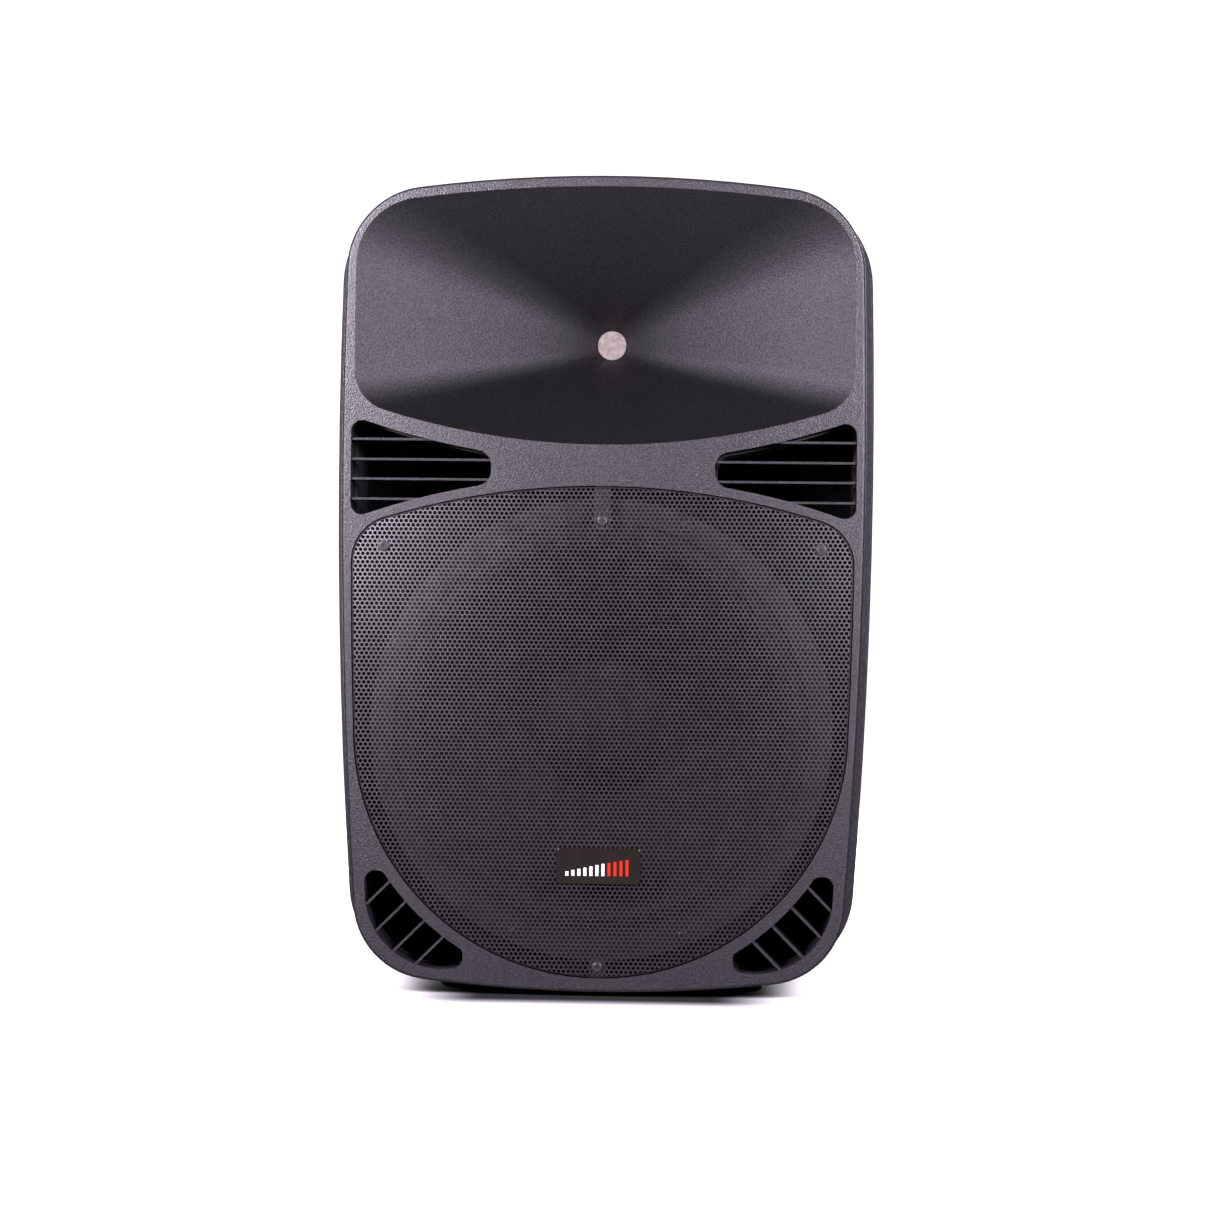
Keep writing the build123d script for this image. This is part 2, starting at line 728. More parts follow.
basket_body = turned(BASKET_PROFILE, WOOFER_Z)
spider_ledge = turned(rectangle_profile(84, 102, -86, -82), WOOFER_Z)
with BuildPart() as woofer_basket:
    add(basket_body)
    add(spider_ledge)
    # eight windows between the ribs
    with BuildSketch(front(-160)):
        for k in range(8):
            corners = []
            for radius, turn in WINDOW_CORNERS:
                angle = radians(45 * k + turn)
                corners.append((radius * cos(angle), WOOFER_Z + radius * sin(angle)))
            with BuildLine():
                Polyline(*corners, close=True)
            make_face()
    extrude(amount=-75, mode=Mode.SUBTRACT)
    with BuildSketch(front(WOOFER_RIM_Y - 1)):
        with Locations(*WOOFER_BOLTS):
            Circle(2.8)
    extrude(amount=-8, mode=Mode.SUBTRACT)
save(woofer_basket.part, "woofer_basket")

# stepped at the inside to clear the surround's glued land
gasket_ring = turned([
    (174, WOOFER_GASKET_Y), (193.5, WOOFER_GASKET_Y), (193.5, WOOFER_RIM_Y),
    (178.2, WOOFER_RIM_Y), (178.2, -169.9), (174, -169.9),
], WOOFER_Z)
with BuildPart() as woofer_gasket:
    add(gasket_ring)
    chamfer(woofer_gasket.edges().filter_by(GeomType.CIRCLE).group_by(Axis.Y)[0], 0.6)
    with BuildSketch(front(WOOFER_GASKET_Y - 1)):
        with Locations(*WOOFER_BOLTS):
            Circle(2.8)
    extrude(amount=-8, mode=Mode.SUBTRACT)
save(woofer_gasket.part, "woofer_gasket")


def rolled_sheet(points, thickness, land_r):
    """Turned sheet whose middle follows the points, with a flat land out to land_r."""
    front_side = [(r, y - thickness / 2) for r, y in points]
    back_side = [(r, y + thickness / 2) for r, y in reversed(points)]
    land_front = (land_r, front_side[-1][1])
    land_back = (land_r, back_side[0][1])
    with BuildPart() as sheet:
        with BuildSketch(WOOFER_PLANE):
            with BuildLine():
                Spline(*front_side)
                Line(front_side[-1], land_front)
                Line(land_front, land_back)
                Line(land_back, back_side[0])
                Spline(*back_side)
                Line(back_side[-1], front_side[0])
            make_face()
        revolve(axis=WOOFER_AXIS)
    return sheet.part


# surround: two rolls between the cone's edge and its glued land, (radius, depth)
SURROUND_POINTS = [
    (156.1, -168.6), (158.4, -171.4), (161.0, -169.3), (163.4, -171.4),
    (165.8, -170.1), (167.6, -169.65), (169.2, -169.5),
]
save(rolled_sheet(SURROUND_POINTS, 0.8, 178.0), "woofer_surround")

# front face of the cone: outer edge, middle and inner edge, (radius, depth)
CONE_OUTER, CONE_MID, CONE_INNER = (CONE_R, -168.0), (95.0, -136.5), (32.7, -96.0)
# the same stations on its back face
CONE_OUTER_BACK, CONE_MID_BACK, CONE_INNER_BACK = (CONE_R, -166.7), (95.0, -134.9), (32.7, -94.3)


def circle_through(a, b, c):
    """Centre coordinates and radius of the circle through three points."""
    ax, ay, bx, by, cx, cy = *a, *b, *c
    a_sq, b_sq, c_sq = ax**2 + ay**2, bx**2 + by**2, cx**2 + cy**2
    d = 2 * (ax * (by - cy) + bx * (cy - ay) + cx * (ay - by))
    x = (a_sq * (by - cy) + b_sq * (cy - ay) + c_sq * (ay - by)) / d
    y = (a_sq * (cx - bx) + b_sq * (ax - cx) + c_sq * (bx - ax)) / d
    return x, y, sqrt((ax - x) ** 2 + (ay - y) ** 2)


def cone_y(radius):
    """Depth of the cone's front face at a radius; its arc is centred behind it."""
    centre_r, centre_y, arc_r = circle_through(CONE_OUTER, CONE_MID, CONE_INNER)
    return centre_y - sqrt(arc_r**2 - (radius - centre_r) ** 2)


with BuildPart() as woofer_cone:
    with BuildSketch(WOOFER_PLANE):
        with BuildLine():
            ThreePointArc(CONE_OUTER, CONE_MID, CONE_INNER)
            Line(CONE_INNER, CONE_INNER_BACK)
            ThreePointArc(CONE_INNER_BACK, CONE_MID_BACK, CONE_OUTER_BACK)
            Line(CONE_OUTER_BACK, CONE_OUTER)
        make_face()
    revolve(axis=WOOFER_AXIS)
save(woofer_cone.part, "woofer_cone")


def ball_radius(rim_r, rise):
    """Radius of the ball whose cap has this rim radius and rise."""
    return (rim_r**2 + rise**2) / (2 * rise)


CAP_T = 1.0
cap_y = cone_y(CAP_R) - 0.15          # rim of the cap, just in front of the cone
cap_ball = ball_radius(CAP_R, CAP_RISE)
cap_ball_in = cap_ball - CAP_T
cap_centre = cap_y - CAP_RISE + cap_ball
cap_angle = degrees(asin(CAP_R / cap_ball))
cap_angle_in = degrees(asin((CAP_R - CAP_T) / cap_ball_in))
with BuildPart() as dust_cap:
    with BuildSketch(WOOFER_PLANE):
        with BuildLine():
            rim_out = CenterArc((0, cap_centre), cap_ball, -90, cap_angle) @ 1
            rim_in = CenterArc((0, cap_centre), cap_ball_in, -90, cap_angle_in) @ 1
            Line(rim_out, rim_in)
            Line((0, cap_centre - cap_ball), (0, cap_centre - cap_ball_in))
        make_face()
    revolve(axis=WOOFER_AXIS)
save(dust_cap.part, "dust_cap")

# spider: corrugations from the voice coil to the basket's ledge, (radius, depth)
SPIDER_POINTS = [
    (33.8, -86.3), (39, -88.0), (44, -84.8), (49, -88.0), (54, -84.8), (59, -88.0),
    (64, -84.8), (69, -88.0), (74, -84.8), (79, -87.4), (84, -86.3),
]
save(rolled_sheet(SPIDER_POINTS, 0.6, 92.0), "woofer_spider")

# former with the thicker winding round its back part
save(turned([
    (32.0, -98), (COIL_R, -98), (COIL_R, -66), (33.4, -66), (33.4, -54), (COIL_R, -54),
    (COIL_R, -52), (32.0, -52),
], WOOFER_Z), "voice_coil")

save(turned(rectangle_profile(34.3, 78, TOP_PLATE_Y, MAGNET_Y), WOOFER_Z), "woofer_top_plate")
save(turned(rectangle_profile(45, 85, MAGNET_Y, POLE_PLATE_Y), WOOFER_Z, 1.0), "woofer_magnet")
save(turned([
    (9, TOP_PLATE_Y), (31, TOP_PLATE_Y), (31, POLE_PLATE_Y), (78, POLE_PLATE_Y),
    (78, -30), (9, -30),
], WOOFER_Z), "woofer_pole_piece")

BASKET_BACK_TOP_Z = WOOFER_Z + BASKET_BACK_R
with BuildPart() as woofer_terminals:
    with BuildSketch(front(-76)):
        with Locations((0, BASKET_BACK_TOP_Z + 7.1)):
            Rectangle(34, 14)
    extrude(amount=-3)
    with BuildSketch(front(-76)):
        with Locations(*both_sides([(10, BASKET_BACK_TOP_Z + 9)])):
            RectangleRounded(7, 7, 1.5)
    extrude(amount=-14)
save(woofer_terminals.part, "woofer_terminals")

save(cross_head_screws(
    front(WOOFER_GASKET_Y), WOOFER_BOLTS, outward=1,
    head_r=5, head_h=2.6, rounding=1.6, shank_r=2.4, shank_length=20,
    slot_length=5, slot_w=1, slot_depth=1.3,
), "woofer_screws")

# ---------------------------------------------------------------------------
# horn driver, turned about the horn's axis: profiles are (radius, depth)
# ---------------------------------------------------------------------------
DRIVER_R = 45
DRIVER_MAGNET_Y = -27     # front of the magnet
DRIVER_PLATE_Y = -13      # front of the plate
DRIVER_COVER_Y = -8       # front of the cover

save(turned([
    (0, -37.6), (6, -37.3), (11, -36.5), (12.5, -36.1), (15, -36.1), (15, -35.1),
    (11, -35.1), (0, -36.6),
], HORN_Z), "horn_screen")

flange_ring = turned(
    rectangle_profile(THROAT_R, HORN_FLANGE_R, HORN_BACK_Y, DRIVER_MAGNET_Y), HORN_Z
)
with BuildPart() as horn_driver_flange:
    add(flange_ring)
    with BuildSketch(front(HORN_BACK_Y - 1)):
        with Locations(*HORN_BOLTS):
            Circle(2.6)
    extrude(amount=-8, mode=Mode.SUBTRACT)
save(horn_driver_flange.part, "horn_driver_flange")

save(turned(
    rectangle_profile(26, DRIVER_R, DRIVER_MAGNET_Y, DRIVER_PLATE_Y), HORN_Z, 0.8
), "horn_driver_magnet")
save(turned([
    (THROAT_R, DRIVER_MAGNET_Y), (21.7, DRIVER_MAGNET_Y), (21.7, -7), (12, -4), (9.5, -8),
], HORN_Z), "horn_phase_plug")
save(turned(
    rectangle_profile(23.4, DRIVER_R, DRIVER_PLATE_Y, DRIVER_COVER_Y), HORN_Z
), "horn_driver_plate")

# dome bulging to the back, with a straight skirt towards the front
DOME_R, DOME_RISE, DOME_T = 22.8, 8.0, 0.4
SKIRT_T = 0.5
SKIRT_Y = -12             # front end of the skirt
dome_ball = ball_radius(DOME_R, DOME_RISE)
dome_ball_in = dome_ball - DOME_T
dome_centre = -5.0 + DOME_RISE - dome_ball
dome_angle = degrees(asin(DOME_R / dome_ball))
dome_angle_in = degrees(asin((DOME_R - SKIRT_T) / dome_ball_in))
with BuildPart() as horn_diaphragm:
    with BuildSketch(Plane.XY.offset(HORN_Z)):
        with BuildLine():
            dome_out = CenterArc((0, dome_centre), dome_ball, 90, -dome_angle) @ 1
            dome_in = CenterArc((0, dome_centre), dome_ball_in, 90, -dome_angle_in) @ 1
            Polyline(dome_out, (DOME_R, SKIRT_Y), (DOME_R - SKIRT_T, SKIRT_Y), dome_in)
            Line((0, dome_centre + dome_ball), (0, dome_centre + dome_ball_in))
        make_face()
    revolve(axis=Axis((0, 0, HORN_Z), (0, 1, 0)))
save(horn_diaphragm.part, "horn_diaphragm")

save(turned([
    (24.5, DRIVER_COVER_Y), (DRIVER_R, DRIVER_COVER_Y), (DRIVER_R, 8), (40, 13), (0, 13),
    (0, 10.5), (38.5, 10.5), (42, 7), (42, -6), (24.5, -6),
], HORN_Z), "horn_driver_cover")

with BuildPart() as horn_driver_bolts:
    with BuildSketch(front(HORN_BACK_Y - 7)):
        with Locations(*HORN_BOLTS):
            RegularPolygon(5, 6)
    extrude(amount=4)
    with BuildSketch(front(HORN_BACK_Y - 7)):
        with Locations(*HORN_BOLTS):
            Circle(2.5)
    extrude(amount=-13.5)
save(horn_driver_bolts.part, "horn_driver_bolts")

# ---------------------------------------------------------------------------
# amplifier module: panel, its screws and the heat sink
# ---------------------------------------------------------------------------
KNOB_X = [-80.0, -40.0, 0.0, 40.0, 80.0]
KNOB_Z = 425.0
KNOBS = [(x, KNOB_Z) for x in KNOB_X]
POT_BUSH_R = 4.4

JACK_Z = 368.0
COMBO_SOCKETS = [(-75.0, JACK_Z), (-25.0, JACK_Z)]
LINK_SOCKET = (25.0, JACK_Z)
LATCHES = [(x, z + 14.3) for x, z in COMBO_SOCKETS]
PHONO_X = [64.0, 84.0]
PHONO_SOCKETS = [(x, JACK_Z) for x in PHONO_X]
SOCKET_BARREL_R = 11.9

POWER_Z = 290.0
INLET_X, SWITCH_X = -66.0, -14.0
INLET = (INLET_X, POWER_Z)
SWITCH = (SWITCH_X, POWER_Z)
LAMPS = [(-16.0, 462.0), (0.0, 462.0), (16.0, 462.0)]

with BuildPart() as amplifier_panel:
    with BuildSketch(front(PANEL_FACE)):
        with Locations((0, PANEL_Z)):
            RectangleRounded(PANEL_W, PANEL_H, 4)
    extrude(amount=PANEL_T)
    with BuildSketch(front(PANEL_FACE + 1)):
        with Locations(*KNOBS):
            Circle(POT_BUSH_R + 0.2)
        with Locations(*COMBO_SOCKETS, LINK_SOCKET):
            Circle(SOCKET_BARREL_R + 0.3)
        with Locations(*LATCHES):
            Rectangle(8.8, 4.4)
        with Locations(*PHONO_SOCKETS):
            Circle(4.6)
        with Locations(INLET):
            Rectangle(28.6, 44.6)
        with Locations(SWITCH):
            Rectangle(22.0, 30.0)
        with Locations(*LAMPS):
            Circle(1.7)
        with Locations(*PANEL_SCREWS):
            Circle(1.9)
    extrude(amount=6, mode=Mode.SUBTRACT)
save(amplifier_panel.part, "amplifier_panel")

save(cross_head_screws(
    front(PANEL_FACE), PANEL_SCREWS, outward=-1,
    head_r=3.4, head_h=2, rounding=1.1, shank_r=1.6, shank_length=6.8,
    slot_length=3.6, slot_w=0.8, slot_depth=1,
), "panel_screws")

SINK_Z = 208              # middle of the heat sink and of the power board
SINK_W, SINK_H, SINK_BASE_T = 184, 78, 3
with BuildPart() as heat_sink:
    with BuildSketch(front(PANEL_FACE)):
        with Locations((0, SINK_Z)):
            Rectangle(SINK_W, SINK_H)
    extrude(amount=-SINK_BASE_T)
    with BuildSketch(front(PANEL_FACE + SINK_BASE_T)):
        with Locations((0, SINK_Z)):
            with GridLocations(9.1, 0, 21, 1):
                Rectangle(1.9, SINK_H)
    extrude(amount=-12)
save(heat_sink.part, "heat_sink")

# ---------------------------------------------------------------------------
# circuit boards and what stands on them, towards the front
# ---------------------------------------------------------------------------
BOARD_T = 1.6
POST_INSET = 5
POWER_BOARD_Y = 140       # front face of the power board
INPUT_BOARD_Y = 137       # front face of the input board
INPUT_BOARD_BACK = INPUT_BOARD_Y + BOARD_T


def board(y, centre_z, width, height):
    """Board with its front face at y, and four posts from it to the panel."""
    with BuildPart() as sheet:
        with BuildSketch(front(y)):
            with Locations((0, centre_z)):
                Rectangle(width, height)
        extrude(amount=-BOARD_T)
    with BuildPart() as posts:
        with BuildSketch(front(y + BOARD_T)):
            with Locations((0, centre_z)):
                with GridLocations(width - 2 * POST_INSET, height - 2 * POST_INSET, 2, 2):
                    Circle(3)
        extrude(amount=-(PANEL_Y - y - BOARD_T))
    return [sheet.part, posts.part]


def board_parts(y, blocks, block_w, block_h, cans, can_r, height):
    """Block-shaped and round components on the front face of a board."""
    with BuildPart() as components:
        with BuildSketch(front(y)):
            with Locations(*blocks):
                Rectangle(block_w, block_h)
            with Locations(*cans):
                Circle(can_r)
        extrude(amount=height)
    return components.part


power_parts = board_parts(
    POWER_BOARD_Y, blocks=[(-78, 220), (70, 190)], block_w=16, block_h=22,
    cans=[(-62, 190), (78, 222)], can_r=7, height=14,
)
save(Compound(board(POWER_BOARD_Y, SINK_Z, SINK_W, 72) + [power_parts]), "power_board")

with BuildPart() as filter_capacitors:
    with BuildSketch(front(POWER_BOARD_Y)):
        with Locations((-34, SINK_Z), (-4, SINK_Z), (26, SINK_Z)):
            Circle(12.5)
    extrude(amount=38)
    chamfer(filter_capacitors.faces().sort_by(Axis.Y)[0:3].edges(), 1)
save(filter_capacitors.part, "filter_capacitors")

input_parts = board_parts(
    INPUT_BOARD_Y, blocks=[(-60, 440), (-20, 400), (20, 440), (60, 400)],
    block_w=10, block_h=6, cans=[(-60, 380), (0, 370), (40, 375)], can_r=4, height=5,
)
save(Compound(board(INPUT_BOARD_Y, 406, 200, 126) + [input_parts]), "input_board")

# toroidal transformer, held by a bolt through a washer on its front
TRANSFORMER = (52.0, 292.0)
TRANSFORMER_Y = 123       # front of the winding
WASHER_T = 2
with BuildPart() as transformer_ring:
    with BuildSketch(front(TRANSFORMER_Y)):
        with Locations(TRANSFORMER):
            Circle(43)
            Circle(14, mode=Mode.SUBTRACT)
    extrude(amount=-40)
    fillet(transformer_ring.edges().filter_by(GeomType.CIRCLE), 9)
with BuildPart() as transformer_bolt:
    with BuildSketch(front(TRANSFORMER_Y - WASHER_T)):
        with Locations(TRANSFORMER):
            Circle(30)
    extrude(amount=-WASHER_T)
    with BuildSketch(front(TRANSFORMER_Y - WASHER_T)):
        with Locations(TRANSFORMER):
            RegularPolygon(6.5, 6)
    extrude(amount=4)
    with BuildSketch(front(TRANSFORMER_Y - WASHER_T)):
        with Locations(TRANSFORMER):
            Circle(3)
    extrude(amount=-44)
save(Compound([transformer_ring.part, transformer_bolt.part]), "power_transformer")

# ---------------------------------------------------------------------------
# controls and sockets in the panel
# ---------------------------------------------------------------------------
CONTROL_Y = 150           # front of the potentiometer and phono socket bodies
SPINDLE_R = 3.0

with BuildPart() as potentiometers:
    with BuildSketch(front(CONTROL_Y)):
        with Locations(*KNOBS):
            RectangleRounded(15, 15, 1.5)
    extrude(amount=-(PANEL_Y - CONTROL_Y))
    with BuildSketch(front(PANEL_Y)):
        with Locations(*KNOBS):
            Circle(POT_BUSH_R)
    extrude(amount=-7)
    # three pins each, from the input board
    with BuildSketch(front(INPUT_BOARD_BACK)):
        with Locations(*[(x + dx, KNOB_Z) for x in KNOB_X for dx in (-4, 0, 4)]):
            Circle(0.7)
    extrude(amount=-(CONTROL_Y - INPUT_BOARD_BACK))
    with BuildSketch(front(173)):
        with Locations(*KNOBS):
            Circle(SPINDLE_R + 0.05)
    extrude(amount=20, mode=Mode.SUBTRACT)
save(potentiometers.part, "potentiometers")


def knob(x, name):
    """Fluted knob on its spindle."""
    skirt_y = PANEL_FACE + 0.9
    skirt_t, grip_length = 2.2, 11.2
    with BuildPart() as cap:
        with BuildSketch(front(skirt_y)):
            with Locations((x, KNOB_Z)):
                Circle(8.6)
        extrude(amount=-skirt_t)
        with BuildSketch(front(skirt_y + skirt_t)):
            with Locations((x, KNOB_Z)):
                Circle(7.4)
                with PolarLocations(7.7, 18):
                    Circle(0.8, mode=Mode.SUBTRACT)
        extrude(amount=-grip_length, taper=1.5)
        # room for the bush, and the spindle's bore
        with BuildSketch(front(PANEL_FACE)):
            with Locations((x, KNOB_Z)):
                Circle(5.3)
        extrude(amount=-5.6, mode=Mode.SUBTRACT)
        with BuildSketch(front(PANEL_FACE)):
            with Locations((x, KNOB_Z)):
                Circle(SPINDLE_R)
        extrude(amount=-12, mode=Mode.SUBTRACT)
        # pointer groove in the end of the grip
        with BuildSketch(front(PANEL_FACE + 14.4)):
            with Locations((x, KNOB_Z + 4.2)):
                Rectangle(1.1, 5.6)
        extrude(amount=0.7, mode=Mode.SUBTRACT)
    with BuildPart() as spindle:
        with BuildSketch(front(PANEL_FACE + 12)):
            with Locations((x, KNOB_Z)):
                Circle(SPINDLE_R)
        extrude(amount=24)
    save(Compound([cap.part, spindle.part]), name)


for x, use in zip(KNOB_X, ("input_1", "input_2", "bass", "treble", "master")):
    knob(x, "knob_" + use)

SOCKET_W, SOCKET_H, SOCKET_CORNER_R, SOCKET_FLANGE_T = 27, 34.4, 2.5, 2.2
SOCKET_CUT_Y = PANEL_FACE + 3     # socket recesses are cut forwards from here

with BuildPart() as combo_sockets:
    with BuildSketch(front(PANEL_FACE)):
        with Locations(*COMBO_SOCKETS):
            RectangleRounded(SOCKET_W, SOCKET_H, SOCKET_CORNER_R)
    extrude(amount=-SOCKET_FLANGE_T)
    with BuildSketch(front(PANEL_FACE)):
        with Locations(*COMBO_SOCKETS):
            Circle(SOCKET_BARREL_R)
    extrude(amount=26)
    with BuildSketch(front(SOCKET_CUT_Y)):
        with Locations(*COMBO_SOCKETS):
            Circle(9.8)
    extrude(amount=2.2, mode=Mode.SUBTRACT)
    # central jack bore
    with BuildSketch(front(SOCKET_CUT_Y)):
        with Locations(*COMBO_SOCKETS):
            Circle(3.25)
    extrude(amount=27, mode=Mode.SUBTRACT)
    # three contact holes and the latch slot
    with BuildSketch(front(SOCKET_CUT_Y)):
        for place in COMBO_SOCKETS:
            with Locations(place):
                with PolarLocations(6.4, 3, start_angle=90):
                    Circle(1.6)
        with Locations(*LATCHES):
            Rectangle(8.2, 3.6)
    extrude(amount=14, mode=Mode.SUBTRACT)
save(combo_sockets.part, "combo_sockets")

for i, place in enumerate(LATCHES):
    with BuildPart() as latch:
        with BuildSketch(front(PANEL_Y + 0.6)):
            with Locations(place):
                Rectangle(7.8, 3.2)
        extrude(amount=-6)
        fillet(latch.faces().sort_by(Axis.Y)[-1].edges(), 0.7)
    save(latch.part, "socket_latch_" + str(i + 1))

with BuildPart() as link_socket:
    with BuildSketch(front(PANEL_FACE)):
        with Locations(LINK_SOCKET):
            RectangleRounded(SOCKET_W, SOCKET_H, SOCKET_CORNER_R)
    extrude(amount=-SOCKET_FLANGE_T)
    with BuildSketch(front(PANEL_FACE)):
        with Locations(LINK_SOCKET):
            Circle(SOCKET_BARREL_R)
    extrude(amount=22)
    with BuildSketch(front(SOCKET_CUT_Y)):
        with Locations(LINK_SOCKET):
            Circle(9.6)
    extrude(amount=18, mode=Mode.SUBTRACT)
    # three pins on the floor of the recess
    with BuildSketch(front(150)):
        with Locations(LINK_SOCKET):
            with PolarLocations(5.6, 3, start_angle=90):
                Circle(1.2)
    extrude(amount=-14)
save(link_socket.part, "link_socket")

with BuildPart() as phono_sockets:
    with BuildSketch(front(CONTROL_Y)):
        with Locations((sum(PHONO_X) / 2, JACK_Z)):
            RectangleRounded(34, 14, 1.5)
    extrude(amount=-(PANEL_Y - CONTROL_Y))
    with BuildSketch(front(PANEL_Y)):
        with Locations(*PHONO_SOCKETS):
            Circle(4.2)
    extrude(amount=-11)
    with BuildSketch(front(PANEL_Y + 12)):
        with Locations(*PHONO_SOCKETS):
            Circle(1.65)
    extrude(amount=14, mode=Mode.SUBTRACT)
save(phono_sockets.part, "phono_sockets")

# ---------------------------------------------------------------------------
# mains inlet with its fuse drawer, power switch and lamps
# ---------------------------------------------------------------------------
INLET_BODY_Y = 142        # front of the inlet's body
PLUG_Z = POWER_Z + 8
DRAWER_Z = POWER_Z - 14.6
DRAWER_W, DRAWER_H = 21.8, 8.8
DRAWER_GAP = 0.6          # slot size less drawer size
# outline of the plug recess about its middle, (x, z)
PLUG_OUTLINE = [
    (-12.2, -8.2), (12.2, -8.2), (12.2, 3.4), (7.6, 8.2), (-7.6, 8.2), (-12.2, 3.4),
]

with BuildPart() as mains_inlet:
    with BuildSketch(front(PANEL_FACE)):
        with Locations(INLET):
            RectangleRounded(44, 50, 3)
    extrude(amount=-2.5)
    with BuildSketch(front(INLET_BODY_Y)):
        with Locations(INLET):
            Rectangle(28, 44)
    extrude(amount=-(PANEL_FACE - INLET_BODY_Y))
    # plug recess with its three blades
    with BuildSketch(front(150)):
        with BuildLine():
            Polyline(*[(INLET_X + x, PLUG_Z + z) for x, z in PLUG_OUTLINE], close=True)
        make_face()
    extrude(amount=-30, mode=Mode.SUBTRACT)
    with BuildSketch(front(149)):
        with Locations(*[(INLET_X + x, PLUG_Z + z) for x, z in ((0, 3), (-7, -2), (7, -2))]):
            Rectangle(2, 4)
    extrude(amount=-16)
    # fuse drawer slot
    with BuildSketch(front(146)):
        with Locations((INLET_X, DRAWER_Z)):
            Rectangle(DRAWER_W + DRAWER_GAP, DRAWER_H + DRAWER_GAP)
    extrude(amount=-30, mode=Mode.SUBTRACT)
save(mains_inlet.part, "mains_inlet")

with BuildPart() as fuse_drawer:
    with BuildSketch(front(147)):
        with Locations((INLET_X, DRAWER_Z)):
            Rectangle(DRAWER_W, DRAWER_H)
    extrude(amount=-22.6)
    # hollow inside and a groove in the back face
    with BuildSketch(front(149)):
        with Locations((INLET_X, DRAWER_Z + 2.1)):
            Rectangle(20.2, 6)
    extrude(amount=-17, mode=Mode.SUBTRACT)
    with BuildSketch(front(170)):
        with Locations((INLET_X, DRAWER_Z - 2.1)):
            Rectangle(9, 1.6)
    extrude(amount=1.2, mode=Mode.SUBTRACT)
save(fuse_drawer.part, "fuse_drawer")

SWITCH_BODY_Y = 146       # front of the switch's body
with BuildPart() as power_switch:
    with BuildSketch(front(PANEL_FACE)):
        with Locations(SWITCH):
            RectangleRounded(26, 34, 2)
    extrude(amount=-2)
    with BuildSketch(front(SWITCH_BODY_Y)):
        with Locations(SWITCH):
            Rectangle(21.6, 29.6)
    extrude(amount=-(PANEL_FACE - SWITCH_BODY_Y))
    with BuildSketch(front(SWITCH_BODY_Y + 5)):
        with Locations(SWITCH):
            Rectangle(17.6, 26.4)
    extrude(amount=-30, mode=Mode.SUBTRACT)
save(power_switch.part, "power_switch")

# rocker, drawn level and tipped to its off position about its pivot
ROCKER_W = 16.8
ROCKER_TIP = radians(8.0)
PIVOT_Y = 164.0
ROCKER_PLANE = Plane(
    origin=(SWITCH_X - ROCKER_W / 2, PIVOT_Y, POWER_Z),
    x_dir=(0, cos(ROCKER_TIP), -sin(ROCKER_TIP)),
    z_dir=(1, 0, 0),
)
# side view about the pivot: (towards the back, up)
ROCKER_OUTLINE = [
    (-3, -11.4), (6.6, -11.9), (4.6, 0), (6.6, 11.9), (-3, 11.4), (-8, 4), (-8, -4),
]
with BuildPart() as power_rocker:
    with BuildSketch(ROCKER_PLANE):
        with BuildLine():
            Polyline(*ROCKER_OUTLINE, close=True)
        make_face()
    extrude(amount=ROCKER_W)
save(power_rocker.part, "power_rocker")

with BuildPart() as indicator_lamps:
    with BuildSketch(front(160)):
        with Locations(*LAMPS):
            Circle(1.5)
    extrude(amount=-9)
    fillet(indicator_lamps.faces().sort_by(Axis.Y)[-3:].edges(), 1.2)
    # two legs each, from the input board
    with BuildSketch(front(INPUT_BOARD_BACK)):
        with Locations(*[(x + dx, z) for x, z in LAMPS for dx in (-0.8, 0.8)]):
            Circle(0.3)
    extrude(amount=-21.6)
save(indicator_lamps.part, "indicator_lamps")

# ---------------------------------------------------------------------------
# fittings
# ---------------------------------------------------------------------------
HANDLE_W = 28
HANDLE_END_T = 5          # thickness of the handle's screwed ends
# front view of the handle bar, (x, z)
HANDLE_OUTLINE = [
    (-88, HANDLE_SEAT_Z), (-79, HANDLE_SEAT_Z), (-73, 655), (73, 655), (79, HANDLE_SEAT_Z),
    (88, HANDLE_SEAT_Z), (88, 664), (76, 669.5), (-76, 669.5), (-88, 664),
]
with BuildPart() as top_handle:
    with BuildSketch(front(HANDLE_Y - HANDLE_W / 2)):
        with BuildLine():
            Polyline(*HANDLE_OUTLINE, close=True)
        make_face()
    extrude(amount=-HANDLE_W)
    fillet(top_handle.edges().filter_by(Axis.X).sort_by(Axis.Z)[-2:], 5)
    with BuildSketch(Plane.XY.offset(HANDLE_SEAT_Z)):
        with Locations(*HANDLE_ENDS):
            RectangleRounded(27, 37, 4.5)
        with Locations((0, HANDLE_Y)):
            Rectangle(160, 40, mode=Mode.SUBTRACT)
    extrude(amount=HANDLE_END_T)
    with BuildSketch(Plane.XY.offset(HANDLE_SEAT_Z - 8)):
        with Locations(*HANDLE_SCREWS):
            Circle(2.3)
    extrude(amount=30, mode=Mode.SUBTRACT)
save(top_handle.part, "top_handle")

# blind tube with a flange at its lower end, (radius, height)
POLE_PROFILE = [
    (POLE_BORE_R, POLE_FLANGE_Z), (45, POLE_FLANGE_Z), (45, 12), (23, 12), (23, 94), (0, 94),
    (0, POLE_FLANGE_Z + POLE_DEPTH), (POLE_BORE_R, POLE_FLANGE_Z + POLE_DEPTH),
]
with BuildPart() as pole_socket:
    with BuildSketch(front(POLE_Y)):
        with BuildLine():
            Polyline(*POLE_PROFILE, close=True)
        make_face()
    revolve(axis=Axis((0, POLE_Y, 0), (0, 0, 1)))
    with BuildSketch(Plane.XY):
        with Locations(*POLE_SCREWS):
            Circle(2.3)
    extrude(amount=14, mode=Mode.SUBTRACT)
save(pole_socket.part, "pole_socket")

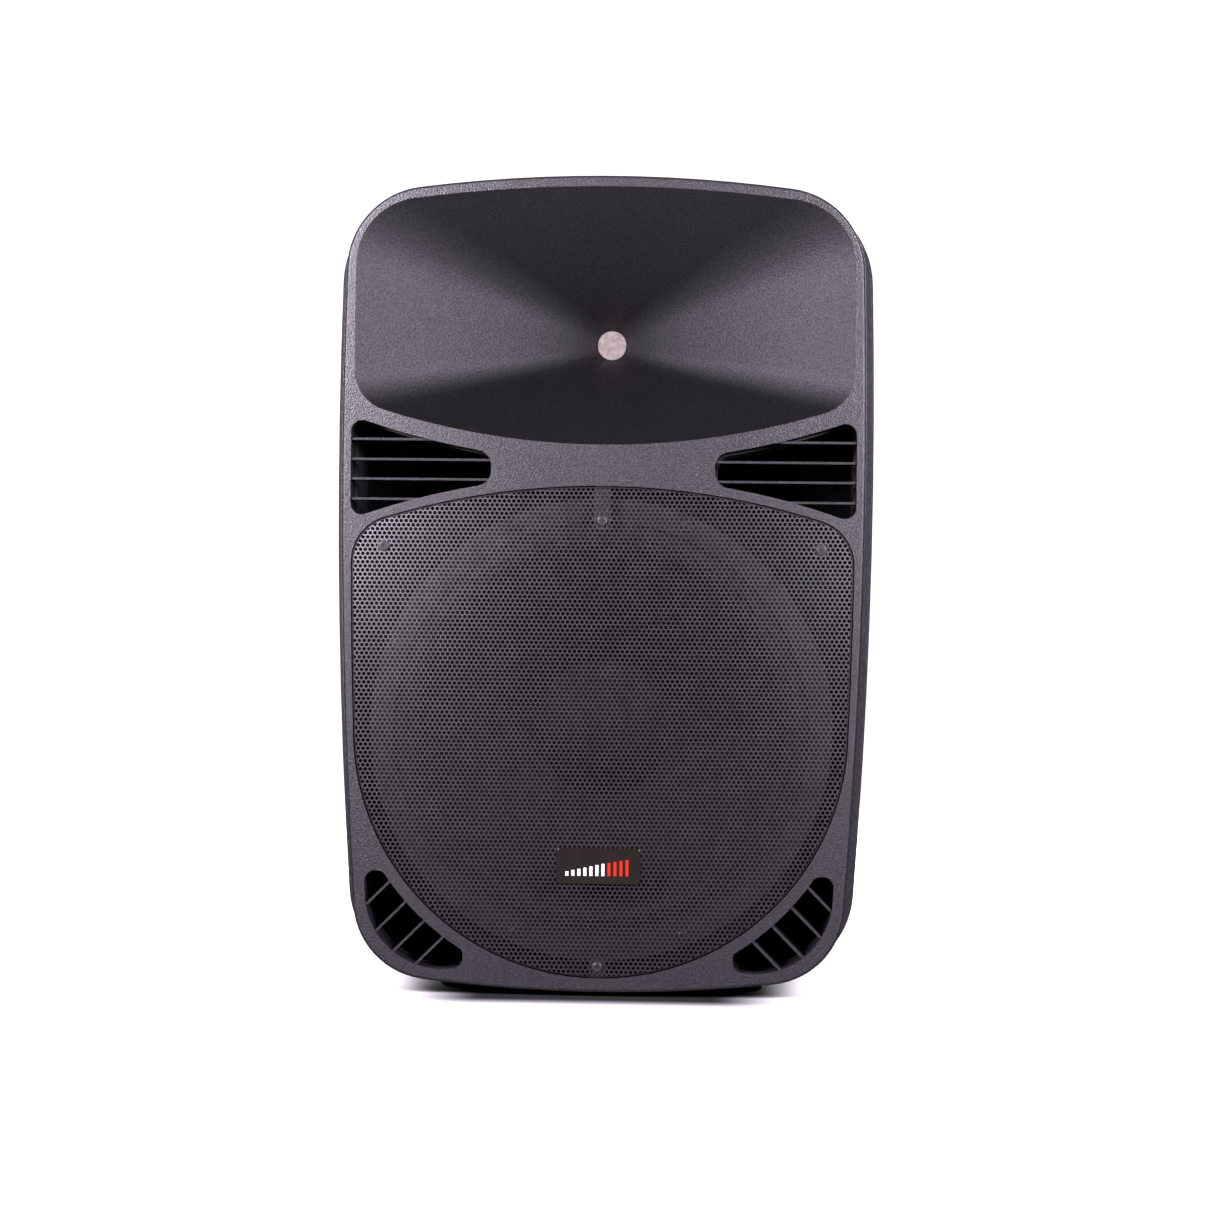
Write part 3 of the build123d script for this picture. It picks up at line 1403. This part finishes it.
FITTING_SCREW = dict(
    head_r=4.2, head_h=2.2, rounding=1.2, shank_r=2.0,
    slot_length=4.4, slot_w=0.9, slot_depth=1.2,
)
handle_screws = cross_head_screws(
    Plane.XY.offset(HANDLE_SEAT_Z + HANDLE_END_T), HANDLE_SCREWS, outward=1,
    shank_length=18, **FITTING_SCREW,
)
pole_socket_screws = cross_head_screws(
    Plane.XY.offset(POLE_FLANGE_Z), POLE_SCREWS, outward=-1,
    shank_length=12, **FITTING_SCREW,
)
save(Compound([handle_screws, pole_socket_screws]), "fitting_screws")

with BuildPart() as rubber_feet:
    with BuildSketch(Plane.XY):
        with Locations(*FEET):
            Circle(FOOT_R - 0.6)
    extrude(amount=FOOT_SEAT_Z, taper=-2.4)
    fillet(rubber_feet.faces().sort_by(Axis.Z)[0:4].edges(), 2)
    with BuildSketch(Plane.XY):
        with Locations(*FEET):
            Circle(5)
    extrude(amount=6, mode=Mode.SUBTRACT)
save(rubber_feet.part, "rubber_feet")

save(cross_head_screws(
    front(SHELL_SCREW_Y), SHELL_SCREWS, outward=-1,
    head_r=5, head_h=3.4, rounding=1.8, shank_r=2.0, shank_length=25.4,
    slot_length=5, slot_w=1, slot_depth=1.5,
), "shell_screws")

# threaded sleeves, closed at their front ends
INSERT_LENGTH = 20
with BuildPart() as bracket_inserts:
    with BuildSketch(front(Y_BACK)):
        with Locations(*INSERTS):
            Circle(INSERT_R)
            Circle(4.25, mode=Mode.SUBTRACT)
    extrude(amount=INSERT_LENGTH)
    with BuildSketch(front(Y_BACK - INSERT_LENGTH)):
        with Locations(*INSERTS):
            Circle(INSERT_R)
    extrude(amount=1.8)
save(bracket_inserts.part, "bracket_inserts")

# ---------------------------------------------------------------------------
# driver leads from the power board: points (x, y, z) along each lead
# ---------------------------------------------------------------------------
WOOFER_LEAD = [
    (-80, 139.9, 236), (-104, 100, 262), (-112, 20, 300), (-60, -40, 338), (-10, -60.5, 331),
]
HORN_LEAD = [
    (60, 139.9, 240), (104, 110, 262), (108, 80, 340), (80, 40, 480), (47.6, 3, 555),
]
FORWARDS = (0, -1, 0)


def lead(points, end_tangent):
    """Round lead through the points, leaving the board straight forwards."""
    with BuildPart() as wire:
        with BuildLine():
            Spline(*points, tangents=[FORWARDS, end_tangent])
        with BuildSketch(Plane(origin=points[0], z_dir=FORWARDS)):
            Circle(2.2)
        sweep()
    return wire.part


save(
    Compound([lead(WOOFER_LEAD, (0.2, -1, 0)), lead(HORN_LEAD, (-1, -0.2, 0))]),
    "driver_leads",
)
